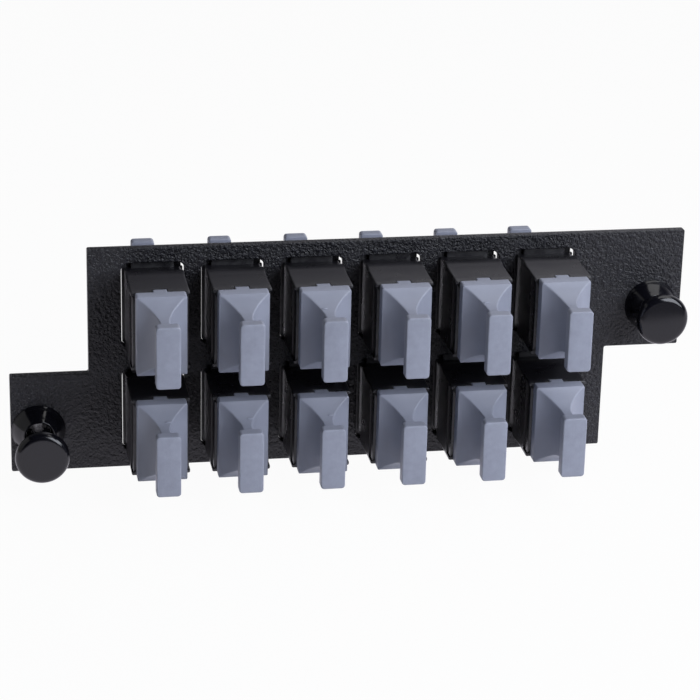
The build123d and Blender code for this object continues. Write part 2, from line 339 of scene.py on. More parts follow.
class Shape:
    """Points, faces and the share of edge painted lighter at each point, as wear and as a painted highlight,
    gathered from several surfaces.
    """

    def __init__(self):
        self.points = []
        self.rub = []
        self.faces = []
        self.count = 0

    def add(self, grid, rub=0.0, rows_close=False, ends=True):
        """Adds a grid surface. With ends, its first and last rows are closed by flat faces."""
        rows, columns = grid.shape[:2]
        self.points.append(grid.reshape(-1, 3))
        self.rub.append(np.broadcast_to(rub, (rows, columns)).reshape(-1))
        self.faces += (grid_quads(rows, columns, rows_close) + self.count).tolist()
        if ends and not rows_close:
            first = np.arange(columns) + self.count
            self.faces += [first[::-1].tolist(), (first + (rows - 1) * columns).tolist()]
        self.count += rows * columns


def make_piece(name, shape, offset=(0, 0, 0), half_turn=False, sharp=SHARP):
    """A mesh object at the origin from a shape, which may be given half a turn about Z first.

    Doubled points are merged and faces turned outwards."""
    points = np.concatenate(shape.points)
    if half_turn:
        points = points * (-1, -1, 1)
    points = points + np.asarray(offset, float)
    mesh = bpy.data.meshes.new(name)
    mesh.from_pydata(points, [], shape.faces)
    # The share of edge at each point, which the plastics paint lighter as wear and as a painted highlight
    layer = mesh.attributes.new("rub", "FLOAT", "POINT")
    layer.data.foreach_set("value", np.concatenate(shape.rub).astype(np.float32))
    work = bmesh.new()
    work.from_mesh(mesh)
    bmesh.ops.remove_doubles(work, verts=work.verts, dist=1e-7)
    bmesh.ops.recalc_face_normals(work, faces=work.faces)
    work.to_mesh(mesh)
    work.free()
    mesh.shade_smooth()
    mesh.set_sharp_from_angle(angle=math.radians(sharp))
    piece = bpy.data.objects.new(name, mesh)
    bpy.context.scene.collection.objects.link(piece)
    return piece


def finish_piece(piece, body, slot, material, *nodes):
    """Gives a piece its finish and its body, and puts it in place of its solids."""
    piece.data.materials.append(material)
    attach(piece, body)
    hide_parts(*nodes)


def middle_of(node):
    """The middle of a solid's box, as an array."""
    low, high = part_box(node)
    return np.array((low + high) / 2)


# Materials

def named_group(name, inputs, outputs):
    """A node group with a Position and the plain sockets asked for: the group, what it is given, its ends."""
    group = bpy.data.node_groups.new(name, "ShaderNodeTree")
    group.interface.new_socket(name="Position", in_out="INPUT", socket_type="NodeSocketVector")
    for label, default in inputs.items():
        socket = group.interface.new_socket(name=label, in_out="INPUT", socket_type="NodeSocketFloat")
        socket.default_value = default
    for label in outputs:
        group.interface.new_socket(name=label, in_out="OUTPUT", socket_type="NodeSocketFloat")
    return group, group.nodes.new("NodeGroupInput").outputs, group.nodes.new("NodeGroupOutput")


def feed(tree, node, sockets):
    """Links each of a node's sockets to another node's output, or sets it to a value."""
    for socket, value in sockets.items():
        if isinstance(value, bpy.types.NodeSocket):
            tree.links.new(value, node.inputs[socket])
        else:
            node.inputs[socket].default_value = value


def add_node(tree, kind, sockets=None, **settings):
    """A node with its plain settings set and its sockets fed."""
    node = tree.nodes.new(kind)
    for key, value in settings.items():
        setattr(node, key, value)
    feed(tree, node, sockets or {})
    return node


def calculate(tree, operation, *values, **settings):
    """The result of one sum on values or outputs."""
    node = add_node(tree, "ShaderNodeMath", dict(enumerate(values)), operation=operation, **settings)
    return node.outputs[0]


def remap(tree, value, from_low, from_high, to_low=0.0, to_high=1.0, **settings):
    """An output taken from one range to another and held within it."""
    sockets = {"Value": value, "From Min": from_low, "From Max": from_high}
    sockets.update({"To Min": to_low, "To Max": to_high})
    return add_node(tree, "ShaderNodeMapRange", sockets, **settings).outputs["Result"]


def noise(tree, position, scale, detail, roughness=0.5, distortion=0.0):
    """The outputs of a noise texture."""
    sockets = {"Vector": position, "Scale": scale, "Detail": detail, "Roughness": roughness}
    return add_node(tree, "ShaderNodeTexNoise", {**sockets, "Distortion": distortion}).outputs


def wrinkle_group():
    """Wrinkled coat: the ridges between warped cells, with a finer grain on them. Crest is 1 on top, where
    the coat gets a painted highlight.
    """
    group, given, out = named_group("Wrinkled coat", {"Scale": 1000.0}, ("Height", "Crest"))
    position, scale = given["Position"], given["Scale"]
    warp_depth, finer, grain_share = 0.0009, 2.4, 0.45
    warp = noise(group, position, scale, 2.0, distortion=0.6)["Color"]
    warped = add_node(
        group, "ShaderNodeVectorMath", {0: warp, 1: (warp_depth,) * 3, 2: position}, operation="MULTIPLY_ADD"
    )
    cells = add_node(
        group, "ShaderNodeTexVoronoi",
        {"Vector": warped.outputs[0], "Scale": scale, "Smoothness": 0.5, "Randomness": 1.0},
        feature="SMOOTH_F1",
    )
    grain = noise(group, position, calculate(group, "MULTIPLY", scale, finer), 3.0, 0.6)["Fac"]
    height = calculate(group, "MULTIPLY_ADD", grain, grain_share, cells.outputs["Distance"])
    feed(group, out, {"Height": height, "Crest": remap(group, height, 0.62, 0.95)})
    return group


def moulded_group():
    """Moulded plastic: a fine spark-eroded grain with upright streaks, and slow patches that shine more."""
    group, given, out = named_group(
        "Moulded skin", {"Grain scale": 6000.0, "Patch scale": 180.0, "Streak": 0.0}, ("Height", "Patch")
    )
    position = given["Position"]
    grain = noise(group, position, given["Grain scale"], 2.0, 0.55)["Fac"]
    patch = noise(group, position, given["Patch scale"], 3.0, 0.6, 0.4)["Fac"]
    stretch = add_node(
        group, "ShaderNodeVectorMath", {0: position, 1: (1.0, 1.0, 0.05)}, operation="MULTIPLY"
    )
    streaks = noise(group, stretch.outputs[0], 2600.0, 2.0)["Fac"]
    height = calculate(group, "MULTIPLY_ADD", streaks, given["Streak"], grain)
    feed(group, out, {"Height": height, "Patch": patch})
    return group


def wear_and_highlight_group():
    """Edges painted lighter, as wear and as a painted highlight: the share of edge stored on the mesh, broken
    up by a small noise.
    """
    group, given, out = named_group("Rubbed edges", {"Edge": 0.0, "Amount": 0.5}, ("Mask",))
    spots = remap(group, noise(group, given["Position"], 900.0, 3.0, 0.6)["Fac"], 0.3, 0.75)
    broken = calculate(group, "MULTIPLY", spots, given["Edge"])
    feed(group, out, {"Mask": calculate(group, "MULTIPLY", broken, given["Amount"], use_clamp=True)})
    return group


def group_of(name):
    """A shared effect, built the first time that a material asks for it."""
    makers = {
        "Wrinkled coat": wrinkle_group,
        "Moulded skin": moulded_group,
        "Rubbed edges": wear_and_highlight_group,
    }
    return bpy.data.node_groups.get(name) or makers[name]()


def place_group(tree, name, **sockets):
    """Puts a shared effect into a material and feeds it. Returns its outputs."""
    return add_node(tree, "ShaderNodeGroup", sockets, node_tree=group_of(name)).outputs


def blank_material(name):
    """A material with its shader, its object coordinates and its node tree."""
    material = bpy.data.materials.new(name)
    material.use_nodes = True
    tree = material.node_tree
    shader = tree.nodes["Principled BSDF"]
    position = tree.nodes.new("ShaderNodeTexCoord").outputs["Object"]
    return material, tree, shader, position


def blend_colours(tree, mask, first, second):
    """A colour that goes from the first to the second as the mask goes from 0 to 1."""
    sockets = {"Factor": mask, "A": (*first, 1), "B": (*second, 1)}
    return add_node(tree, "ShaderNodeMix", sockets, data_type="RGBA").outputs["Result"]


def scaled_colour(rgb, factor):
    """A colour made lighter or darker."""
    return tuple(min(1.0, c * factor) for c in rgb)


def spread_roughness(tree, mask, roughness, less, more):
    """Roughness that follows a mask, from somewhat less than the setting to somewhat more."""
    return remap(tree, mask, 0.3, 0.7, roughness - less, roughness + more)


def bump_from(tree, height, distance):
    """A bumped normal from a height that runs from 0 to 1 over the distance."""
    sockets = {"Height": height, "Strength": 1.0, "Distance": distance}
    return add_node(tree, "ShaderNodeBump", sockets).outputs["Normal"]


def powder_coat(plate):
    """Black textured powder coat with wrinkles, their crests painted paler as a painted highlight."""
    material, tree, shader, position = blank_material("Black powder coat")
    wrinkles = place_group(tree, "Wrinkled coat", Position=position, Scale=1 / plate.wrinkle_size)
    # Painted highlight: the wrinkles' crests take a paler colour
    crest_highlight_factor = 1.9
    pale = scaled_colour(plate.coat_colour, crest_highlight_factor)
    feed(tree, shader, {
        "Base Color": blend_colours(tree, wrinkles["Crest"], plate.coat_colour, pale),
        "Roughness": spread_roughness(tree, wrinkles["Height"], plate.coat_roughness, 0.06, 0.1),
        "Normal": bump_from(tree, wrinkles["Height"], plate.wrinkle_depth),
    })
    return material


def moulded_plastic(name, rgb, roughness, grain, edge_wear_and_highlight_rgb, edge_wear_and_highlight_amount, patch, streak=0.0):
    """Moulded plastic with a grain of that depth, patches, and edges painted lighter as wear and as a painted
    highlight, made at its first use.
    """
    if name in bpy.data.materials:
        return bpy.data.materials[name]
    material, tree, shader, position = blank_material(name)
    skin = place_group(tree, "Moulded skin", Position=position, Streak=streak)
    # Painted highlight and wear: the edges stored on the mesh take the lighter edge colour
    edge = add_node(tree, "ShaderNodeAttribute", attribute_name="rub").outputs["Fac"]
    worn_and_highlit = place_group(tree, "Rubbed edges", Position=position, Edge=edge, Amount=edge_wear_and_highlight_amount)
    body = blend_colours(
        tree, remap(tree, skin["Patch"], 0.35, 0.7),
        scaled_colour(rgb, 1 - patch / 2), scaled_colour(rgb, 1 + patch / 2),
    )
    worn_and_highlit_mix = {"Factor": worn_and_highlit["Mask"], "A": body, "B": (*edge_wear_and_highlight_rgb, 1)}
    feed(tree, shader, {
        "Base Color": add_node(tree, "ShaderNodeMix", worn_and_highlit_mix, data_type="RGBA").outputs["Result"],
        "Roughness": spread_roughness(tree, skin["Patch"], roughness, 0.05, 0.07),
        "Normal": bump_from(tree, skin["Height"], grain),
    })
    return material


def adapter_plastic(context):
    """Satin black plastic of the adapters."""
    adapter = settings_of(context, "adapter")
    # Its edges are painted a lighter grey, as wear and as a painted highlight
    return moulded_plastic(
        "Black adapter plastic", adapter.plastic_colour, adapter.plastic_roughness,
        grain=0.00001, edge_wear_and_highlight_rgb=(0.05, 0.05, 0.052), edge_wear_and_highlight_amount=0.8, patch=0.5,
    )


def cap_plastic(context):
    """Blue grey plastic of the dust caps, with faint streaks from drawing the mould."""
    cap = settings_of(context, "cap")
    # Its edges are painted a lighter blue grey, as wear and as a painted highlight
    return moulded_plastic(
        "Grey cap plastic", cap.cap_colour, cap.cap_roughness,
        grain=0.000012, edge_wear_and_highlight_rgb=scaled_colour(cap.cap_colour, 1.25), edge_wear_and_highlight_amount=0.5, patch=0.08, streak=0.8,
    )


def latch_nylon(context):
    """Glossy black nylon of the latches."""
    latch = settings_of(context, "latch")
    # Its edges are painted a lighter grey, as wear and as a painted highlight
    return moulded_plastic(
        "Black latch nylon", latch.nylon_colour, latch.nylon_roughness,
        grain=0.000005, edge_wear_and_highlight_rgb=(0.03, 0.03, 0.032), edge_wear_and_highlight_amount=0.6, patch=0.3,
    )


def sleeve_ceramic():
    """Polished white ceramic of the alignment sleeves."""
    # Its edges are painted a little lighter, as wear and as a painted highlight
    return moulded_plastic(
        "White sleeve ceramic", (0.80, 0.79, 0.74), 0.18,
        grain=0.000002, edge_wear_and_highlight_rgb=(0.85, 0.84, 0.8), edge_wear_and_highlight_amount=0.2, patch=0.04,
    )


# Pieces

def quarter_in(y, half_x, half_z, radius, steps, towards):
    """Stations of an outer edge rounding, rear to front: the half sizes shrink as y reaches the end plane.

    Each station is y, half_x, half_z and the share of edge painted lighter as wear and as a painted
    highlight.
    At angle t the section has shrunk by radius times one minus the cosine of t, and stands radius times one
    minus the sine of t short of y."""
    rows = []
    for t in arc(0, math.pi / 2, steps):
        shrink = radius * (1 - math.cos(t))
        short = radius * (1 - math.sin(t))
        rows.append((y - towards * short, half_x - shrink, half_z - shrink, 1.0))
    return rows[::-1] if towards > 0 else rows


def cornered(rows, corner):
    """The stations with their corners' radius put in before the share of edge painted lighter, as wear and as
    a painted highlight.
    """
    return [(y, x, z, corner, rub) for y, x, z, rub in rows]


def flare_at(cap, flange, t):
    """The flare's half sizes at a distance t from the neck, and the radii of its two circles.

    The flare follows a circle in plan and in side view: the half size is the neck's plus R minus the
    root of R squared minus t squared, where R makes it meet the flange."""
    neck = np.array([cap.neck_width, cap.neck_height]) / 2
    drop = np.array(flange) - neck
    bend = (drop**2 + cap.flare_length**2) / (2 * drop)
    return neck + bend - np.sqrt(bend**2 - t**2), bend


def cap_stations(cap, flange, grip, plug_length):
    """The cap's stations from the plug's end to the grip bar's face: y, half_x, half_z, radius, rub."""
    edge, corner, ridge, bar_corner = cap.edge_radius, cap.corner_radius, cap.ridge_radius, cap.bar_corner
    flare_rear = -cap.flange_thickness
    flare_front = flare_rear - cap.flare_length
    bar_front = -grip
    bar_rear = bar_front + cap.bar_thickness
    neck = np.array([cap.neck_width, cap.neck_height]) / 2
    bar = (cap.bar_width / 2, cap.bar_height / 2)
    plug = (cap.plug_width / 2, cap.plug_height / 2)
    rows = cornered(quarter_in(plug_length, *plug, edge, 3, 1), corner)
    rows.append((0.0, *plug, corner, 0.0))
    rows += cornered(quarter_in(0.0, *flange, edge / 2, 3, 1), corner)
    rows.append((-edge, *flange, corner, 0.0))
    rows += cornered(quarter_in(flare_rear, *flange, edge / 2, 2, -1), corner)
    just_inside = 0.06
    for t in cap.flare_length * np.cos(arc(just_inside, math.pi / 2, 14)):
        rows.append((flare_front + t, *flare_at(cap, flange, t)[0], ridge, 0.0))
    rows.append((bar_rear + edge, *neck, ridge, 0.0))
    rows.append((bar_rear, *(neck + edge / 3), ridge, 0.0))
    rows += cornered(quarter_in(bar_rear, *bar, edge, 3, 1), bar_corner)
    rows.append((bar_front + 2 * edge, *bar, bar_corner, 0.0))
    rows += cornered(quarter_in(bar_front, *bar, edge, 4, -1), bar_corner)
    return np.array(rows)


def section_stack(rows, lift=0.0):
    """The grid of rounded rectangles that the stations give, and the share of edge at each point."""
    y, half_x, half_z, radius, rub = rows.T
    radius = np.minimum(radius, 0.9 * np.minimum(half_x, half_z))
    x, z, side = rounded_outlines(half_x, half_z, radius)
    # Share of edge painted lighter, as wear and as a painted highlight
    edge = np.maximum(rub[:, None], CAP_EDGE_WEAR_AND_HIGHLIGHT * (side == CORNER)[None, :])
    return stack(x, y[:, None], z + lift), edge


def bar_stations(half_x, half_z, front, rear, edge, corner):
    """The stations of a short bar along Y with rounded ends."""
    rows = quarter_in(rear, half_x, half_z, edge, 3, 1) + quarter_in(front, half_x, half_z, edge, 3, -1)
    return np.array(cornered(rows, corner))


def gate_stub(cap, flange, side):
    """The low stub that the mould's gate leaves on top of the flare, near one of its ridges.

    At angle u round it and v up its side, its points are an ellipse scaled by the cosine of v, and its
    height is gate_height times the sine of v, square to the flare's own slope."""
    t = cap.gate_place
    half, bend = flare_at(cap, flange, t)
    slope = math.asin(t / bend[1])
    flatness, below = 0.4, -0.5
    u = full_turn(16)
    v = arc(below, math.pi / 2, 5)[:-1, None]
    across = cap.gate_radius * np.cos(u) * np.cos(v)
    along = flatness * cap.gate_radius * np.sin(u) * np.cos(v)
    up = cap.gate_height * np.sin(v) + np.zeros_like(u)
    x = side * (half[0] - cap.gate_inset) + across
    y = -cap.flange_thickness - cap.flare_length + t + along * math.cos(slope) - up * math.sin(slope)
    z = half[1] + along * math.sin(slope) + up * math.cos(slope)
    return stack(x, y, z)


def dust_cap_shape(cap, node, gate_side):
    """The whole cap about its seat: the stack of sections, the key on the plug and the gate's stub."""
    low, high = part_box(node)
    shell_low, shell_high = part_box(node.replace("_cap_", "_shell_"))
    front = "front" in node
    seat = shell_low.y if front else shell_high.y
    grip = seat - low.y if front else high.y - seat
    plug_length = high.y - seat if front else seat - low.y
    flange = ((high.x - low.x) / 2, (high.z - low.z) / 2)
    shape = Shape()
    shape.add(*section_stack(cap_stations(cap, flange, grip, plug_length)))
    key = bar_stations(
        cap.key_width / 2, cap.key_height / 2, -cap.edge_radius, cap.key_length,
        cap.edge_radius / 2, cap.edge_radius,
    )
    shape.add(*section_stack(key, cap.key_top - cap.key_height / 2))
    if gate_side:
        shape.add(gate_stub(cap, flange, gate_side))
    return shape, seat


class ADAPTERPLATE_OT_caps(bpy.types.Operator):
    """Makes the twenty-four dust caps, front and rear"""

    bl_idname = "adapter_plate.caps"
    bl_label = "Dust caps"

    def execute(self, context):
        cap = settings_of(context, "cap")
        plastic = cap_plastic(context)
        for end in ENDS:
            shapes = {side: dust_cap_shape(cap, end + "_cap_lower_1", side) for side in (-1, 0, 1)}
            for row, column in PLACES:
                node = f"{end}_cap_{row}_{column}"
                shape, seat = shapes[GATE_SIDES.get((end, row, column), 0)]
                x, _, z = middle_of(node)
                piece = make_piece(f"{end}_dust_cap_{row}_{column}", shape, (x, seat, z), end == "rear")
                finish_piece(piece, node, "cap_plastic", plastic, node)
        return {"FINISHED"}


def front_outside(adapter, half_x, half_z, depth):
    """The front shell's outside from the joint towards its mouth: depth, half_x, half_z.

    At a distance s from the joint, the half width follows the upright edges' circle, the half width
    less r plus the root of r squared minus (r - s) squared, and the rib is a parabola of rib_rise."""
    r, width = adapter.rear_radius, adapter.rib_width
    turned = r * (1 - np.cos(arc(0, math.pi / 2, 5)))
    rows = []
    for s in (*turned, *np.linspace(r, width, 8)[1:]):
        shrink = r - math.sqrt(r**2 - max(r - s, 0) ** 2)
        rise = adapter.rib_rise * (1 - (2 * s / width - 1) ** 2)
        rows.append((depth - s, half_x - shrink, half_z + rise))
    return rows


def rear_outside(adapter, half_x, half_z, lug_z, neck_x, depth, lug_front):
    """The rear shell's outside from the joint towards its mouth, over the neck and the lugs."""
    neck_z = half_z - adapter.neck_end_step
    lug_x = adapter.lug_width / 2
    lug_rear = lug_front - adapter.lug_thickness
    edge = adapter.edge_radius
    return [
        (depth, neck_x, neck_z),
        (lug_front, neck_x, neck_z),
        (lug_front, lug_x - edge, lug_z - edge),
        (lug_front - edge, lug_x, lug_z),
        (lug_rear + edge, lug_x, lug_z),
        (lug_rear, lug_x - edge, lug_z - edge),
        (lug_rear, half_x, half_z),
    ]


def shell_shape(adapter, outside, half_x, half_z, depth, port_depth, recess):
    """A shell's closed skin: its outside, its lip, its port and the guide's pocket.

    Depths run inwards from the mouth. The lip's points above the key's notch lie deeper by the notch's
    depth, and the sides' points near the mouth lie deeper by the recess."""
    edge, lead = adapter.edge_radius, adapter.port_lead
    port = (adapter.port_width / 2, adapter.port_height / 2)
    pocket = (port[0] + adapter.pocket_step, port[1] + adapter.pocket_step)
    behind_notch = adapter.key_depth + edge
    rows = [(depth, *pocket, 0, 0, 0)]
    rows += [(*row, 0, 0, 0) for row in outside]
    if recess:
        rows.append((adapter.recess_length, half_x, half_z, 0, 0, 0))
        rows.append((adapter.recess_length, half_x, half_z, 0, 0, 1))
    rows.append((behind_notch, half_x, half_z, 0, 0, 1))
    rows += [(y, x, z, rub, 1, 1) for y, x, z, rub in quarter_in(0.0, half_x, half_z, edge, 3, -1)]
    rows.append((0.0, port[0] + lead, port[1] + lead, 0, 1, 0))
    rows.append((lead, *port, 1, 1, 0))
    rows.append((behind_notch + lead, *port, 0, 0, 0))
    rows.append((port_depth, *port, 0, 0, 0))
    rows.append((port_depth, *pocket, 0, 0, 0))
    y, wide, high, rub, lip, dent = np.array(rows).T
    relief, key = adapter.relief_width / 2, adapter.key_width / 2
    stops_x = (-relief, -relief, -key, -key, key, key, relief, relief)
    notch = np.array([0, 0, 1, 1, 0, 0, 1, 1, 0, 0]) * adapter.relief_depth
    notch[4:6] = adapter.key_depth
    stop = half_z - adapter.recess_margin
    stops_z = (-stop, -stop, stop, stop)
    x, z, side = rounded_outlines(wide, high, adapter.outline_radius, stops_x, stops_z, steps=3)
    deeper = np.zeros(len(side))
    deeper[side == TOP] = notch
    inwards = np.zeros(len(side))
    for label in (RIGHT, LEFT):
        inwards[side == label] = (0, 0, 1, 1, 0, 0)
    x = x - np.sign(x) * recess * dent[:, None] * inwards
    # Share of edge painted lighter, as wear and as a painted highlight
    worn_and_highlit = np.maximum(rub[:, None], SHELL_EDGE_WEAR_AND_HIGHLIGHT * (side == CORNER)[None, :])
    shape = Shape()
    shape.add(stack(x, y[:, None] + lip[:, None] * deeper, z), worn_and_highlit, rows_close=True)
    return shape


class ADAPTERPLATE_OT_adapters(bpy.types.Operator):
    """Makes the front and rear shells of the twelve adapters"""

    bl_idname = "adapter_plate.adapters"
    bl_label = "Adapters"

    def execute(self, context):
        adapter = settings_of(context, "adapter")
        plate = settings_of(context, "plate")
        plastic = adapter_plastic(context)
        edge = adapter.edge_radius
        front_low, front_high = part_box("front_shell_lower_1")
        rear_low, rear_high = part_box("rear_shell_lower_1")
        guide_low, guide_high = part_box("ferrule_guides_lower")
        half_x = (front_high.x - front_low.x) / 2
        half_z = (front_high.z - front_low.z) / 2 - adapter.rib_rise
        depth = front_high.y - front_low.y
        front = shell_shape(
            adapter, front_outside(adapter, half_x, half_z, depth), half_x, half_z, depth,
            guide_low.y - front_low.y, adapter.recess_depth,
        )
        half = (rear_high - rear_low) / 2
        depth = rear_high.y - rear_low.y
        rear_x = half_x - adapter.rear_side_step
        lug_front = rear_high.y - adapter.lug_gap
        outside = rear_outside(adapter, rear_x, half_z, half.z, half.x, depth, lug_front)
        rear = shell_shape(adapter, outside, rear_x, half_z, depth, rear_high.y - guide_high.y, 0.0)
        pad = bar_stations(
            adapter.pad_width / 2, plate.cutout_height / 2 - adapter.lug_gap, lug_front,
            lug_front + adapter.pad_length, edge, adapter.outline_radius,
        )
        rear.add(*section_stack(pad))
        rib_x = plate.cutout_width / 2 - adapter.rib_gap
        for side, height in ((1, adapter.left_rib_height), (-1, adapter.right_rib_height)):
            rib = bar_stations(
                (rib_x - half.x) / 2 + edge, height / 2, lug_front,
                lug_front + adapter.side_rib_length, edge / 3, adapter.outline_radius,
            )
            grid, worn_and_highlit = section_stack(rib)
            rear.add(grid + (side * (rib_x + half.x - 2 * edge) / 2, 0, 0), worn_and_highlit)
        for end, shape, mouth in (("front", front, front_low.y), ("rear", rear, rear_high.y)):
            for row, column in PLACES:
                node = f"{end}_shell_{row}_{column}"
                x, _, z = middle_of(node)
                piece = make_piece(f"{end}_housing_{row}_{column}", shape, (x, mouth, z), end == "rear")
                finish_piece(piece, "carrier", "adapter_plastic", plastic, node)
        return {"FINISHED"}


def rounded_polygon(corners, radius, steps):
    """A closed outline of x and z with each corner rounded, and the outward direction at each point.

    At a corner between two edges, the arc's centre lies at radius from both edges, and the arc turns
    from the first edge's outward normal to the second's."""
    corners = np.asarray(corners, float)
    points, outward = [], []
    count = len(corners)
    for i in range(count):
        before, here, after = corners[i - 1], corners[i], corners[(i + 1) % count]
        first = (here - before) / np.linalg.norm(here - before)
        second = (after - here) / np.linalg.norm(after - here)
        hollow = np.sign(first[0] * second[1] - first[1] * second[0])
        first_out, second_out = np.array([first[1], -first[0]]), np.array([second[1], -second[0]])
        centre = here - hollow * radius * (first_out + second_out)
        for t in arc(0, math.pi / 2, steps):
            out = first_out * math.cos(t) + second_out * math.sin(t)
            points.append(centre + hollow * radius * out)
            outward.append(out)
    return np.array(points), np.array(outward)


def rim_of(outline, outward, half_thickness, edge, steps):
    """The sheet's edge round one outline: at angle t it stands edge times (1 - cos t) inside the outline."""
    rows = []
    for t in arc(-math.pi / 2, math.pi / 2, 2 * steps):
        inset = edge * (1 - math.cos(t))
        straight = half_thickness - edge
        y = (straight + edge * abs(math.sin(t))) * np.sign(t) if t else 0.0
        rows.append(np.insert(outline - inset * outward, 1, y, axis=1))
    return np.array(rows)


def plate_outlines(plate):
    """The plate's stepped outline, its twelve cut-outs and its two latch holes, holes turned inwards."""
    low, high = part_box("plate")
    body_left, body_right = low.x + plate.left_tab_length, high.x - plate.right_tab_length
    left_top, right_bottom = low.z + plate.left_tab_height, high.z - plate.right_tab_height
    corners = (
        (low.x, low.z), (body_right, low.z), (body_right, right_bottom), (high.x, right_bottom),
        (high.x, high.z), (body_left, high.z), (body_left, left_top), (low.x, left_top),
    )
    outlines = [rounded_polygon(corners, plate.corner_radius, 4)]
    half_x, half_z = plate.cutout_width / 2, plate.cutout_height / 2
    opening = np.array([(-half_x, -half_z), (-half_x, half_z), (half_x, half_z), (half_x, -half_z)])
    for row, column in PLACES:
        middle = middle_of(f"rear_shell_{row}_{column}")[[0, 2]]
        outlines.append(rounded_polygon(opening + middle, plate.cutout_radius, 6))
    turn = -full_turn(48)[0]
    circle = np.stack([np.cos(turn), np.sin(turn)], axis=1)
    for side in SIDES:
        middle = middle_of("latch_grommet_" + side)[[0, 2]]
        outlines.append((middle + plate.hole_radius * circle, -circle))
    return outlines


class ADAPTERPLATE_OT_plate(bpy.types.Operator):
    """Makes the stepped plate with its cut-outs and its coated, rounded edges"""

    bl_idname = "adapter_plate.plate"
    bl_label = "Plate"

    def execute(self, context):
        plate = settings_of(context, "plate")
        low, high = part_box("plate")
        half_thickness = (high.y - low.y) / 2
        shape = Shape()
        firsts, lasts, starts = [], [], []
        for outline, outward in plate_outlines(plate):
            rim = rim_of(outline, outward, half_thickness, plate.edge_radius, 3)
            worn_and_highlit = np.sin(np.linspace(0, math.pi, len(rim)))[:, None]
            starts.append(shape.count)
            shape.add(rim, worn_and_highlit, ends=False)
            firsts.append([Vector(p) for p in rim[0]])
            lasts.append([Vector(p) for p in rim[-1]])
        for loops, last_row in ((firsts, False), (lasts, True)):
            places = []
            for start, loop in zip(starts, loops):
                skip = (len(rim) - 1) * len(loop) if last_row else 0
                places += range(start + skip, start + skip + len(loop))
            for face in tessellate_polygon(loops):
                shape.faces.append([places[i] for i in face])
        middle = (low.y + high.y) / 2
        piece = make_piece("coated_plate", shape, (0, middle, 0))
        for face in piece.data.polygons:
            face.use_smooth = abs(face.normal.y) < 0.999
        finish_piece(piece, "carrier", "plate_steel", powder_coat(plate), "plate")
        return {"FINISHED"}


def revolved(profile):
    """A profile of (y, radius) pairs turned about the Y axis."""
    y, radius = np.array(profile, float).T
    turn = full_turn(64)
    return stack(radius[:, None] * np.cos(turn), y[:, None], radius[:, None] * np.sin(turn))


def bend_of(centre_y, centre_r, radius, start, end, steps=4):
    """Part of a profile: an arc from one angle to the other, in degrees from -Y towards outwards."""
    turn = arc(math.radians(start), math.radians(end), steps)
    return [(centre_y - radius * math.cos(t), centre_r + radius * math.sin(t)) for t in turn]


def collar_profile(latch, front, plate_front, radius, shank):
    """The collar's closed profile: bore, root, shank, lip, cone, rounded nose and funnel.

    The cone bulges a little: halfway up it stands out by a tenth of its drop in radius."""
    root, barrel, edge, nose = latch.barrel_root, latch.barrel_radius, latch.lip_rounding, latch.nose_rounding
    bore = latch.stem_radius + latch.stem_gap
    dome = radius - latch.shoulder_step
    drop = dome - latch.nose_radius
    lip_front = plate_front - latch.lip_height
    rows = [(root, bore), (root, barrel), (0.0, barrel), (0.0, shank)]
    rows += [(plate_front, shank), (plate_front, radius)]
    rows += reversed(bend_of(lip_front + edge, radius - edge, edge, 0, 90))
    rows.append((lip_front, dome + edge / 4))
    for t in np.linspace(0, 1, 7)[:-1]:
        bulge = 4 * t * (1 - t) * drop / 10
        along = lip_front - edge / 4 + (front + nose - lip_front) * t
        rows.append((along, dome - drop * t + bulge))
    rows += reversed(bend_of(front + nose, latch.nose_radius - nose, nose, 0, 70))
    rows += bend_of(front + nose, latch.bore_radius + nose, nose, 0, -80)
    rows.append((front + latch.bore_depth, bore))
    return rows


def leg_grid(latch, end):
    """One of the barrel's four legs. Its sides stay half a slot away from the planes between the legs.

    At radius r, the angle to either side of its middle is 45 degrees less the arcsine of half the
    slot's width over r."""
    start, barrel, tip = latch.barrel_root / 2, latch.barrel_radius, latch.tip_chamfer
    bore = latch.stem_radius + latch.stem_gap
    loop = [(start, bore), (start, barrel), (end - tip, barrel)]
    loop += [(end - tip / 2, barrel - 0.3 * tip), (end, barrel - tip), (end, bore)]
    y, r = np.array(loop).T
    reach = math.pi / 4 - np.arcsin(latch.slot_width / 2 / r)
    turn = np.linspace(-1, 1, 8)[:, None] * reach[None, :]
    return stack(r * np.cos(turn), y, r * np.sin(turn))


def turned_about_y(grid, angle):
    """The grid turned about the Y axis."""
    x, y, z = np.moveaxis(grid, -1, 0)
    return stack(x * math.cos(angle) - z * math.sin(angle), y, x * math.sin(angle) + z * math.cos(angle))


def knob_profile(latch, face, tip, radius):
    """The plunger's profile from the middle of its face, over the rim and the flared neck, to its tip.

    The face's dome rises with the square of r. The neck's flare is a quarter of an ellipse."""
    rim, back = latch.rim_radius, latch.lip_rounding
    flat = radius - rim
    rows = [(face + latch.dome_rise * (r / flat) ** 2, r) for r in np.linspace(0, flat, 7)]
    rim_middle = face + latch.dome_rise + rim
    rows += bend_of(rim_middle, flat, rim, 0, 90, 6)[1:]
    side = rim_middle + latch.knob_rim
    rows += bend_of(side, radius - back, back, 90, 180)
    neck_rear = face + latch.knob_length
    waist_front = neck_rear - latch.waist_length
    for t in arc(0, math.pi / 2, 8)[1:]:
        along = (waist_front - side - back) * (1 - math.cos(t))
        across = (radius - back - latch.waist_radius) * math.sin(t)
        rows.append((side + back + along, radius - back - across))
    rows += [(neck_rear, latch.stem_radius), (tip - latch.stem_tip, latch.stem_radius)]
    rows += [(tip, latch.stem_radius - latch.stem_tip), (tip, 0.0)]
    return rows


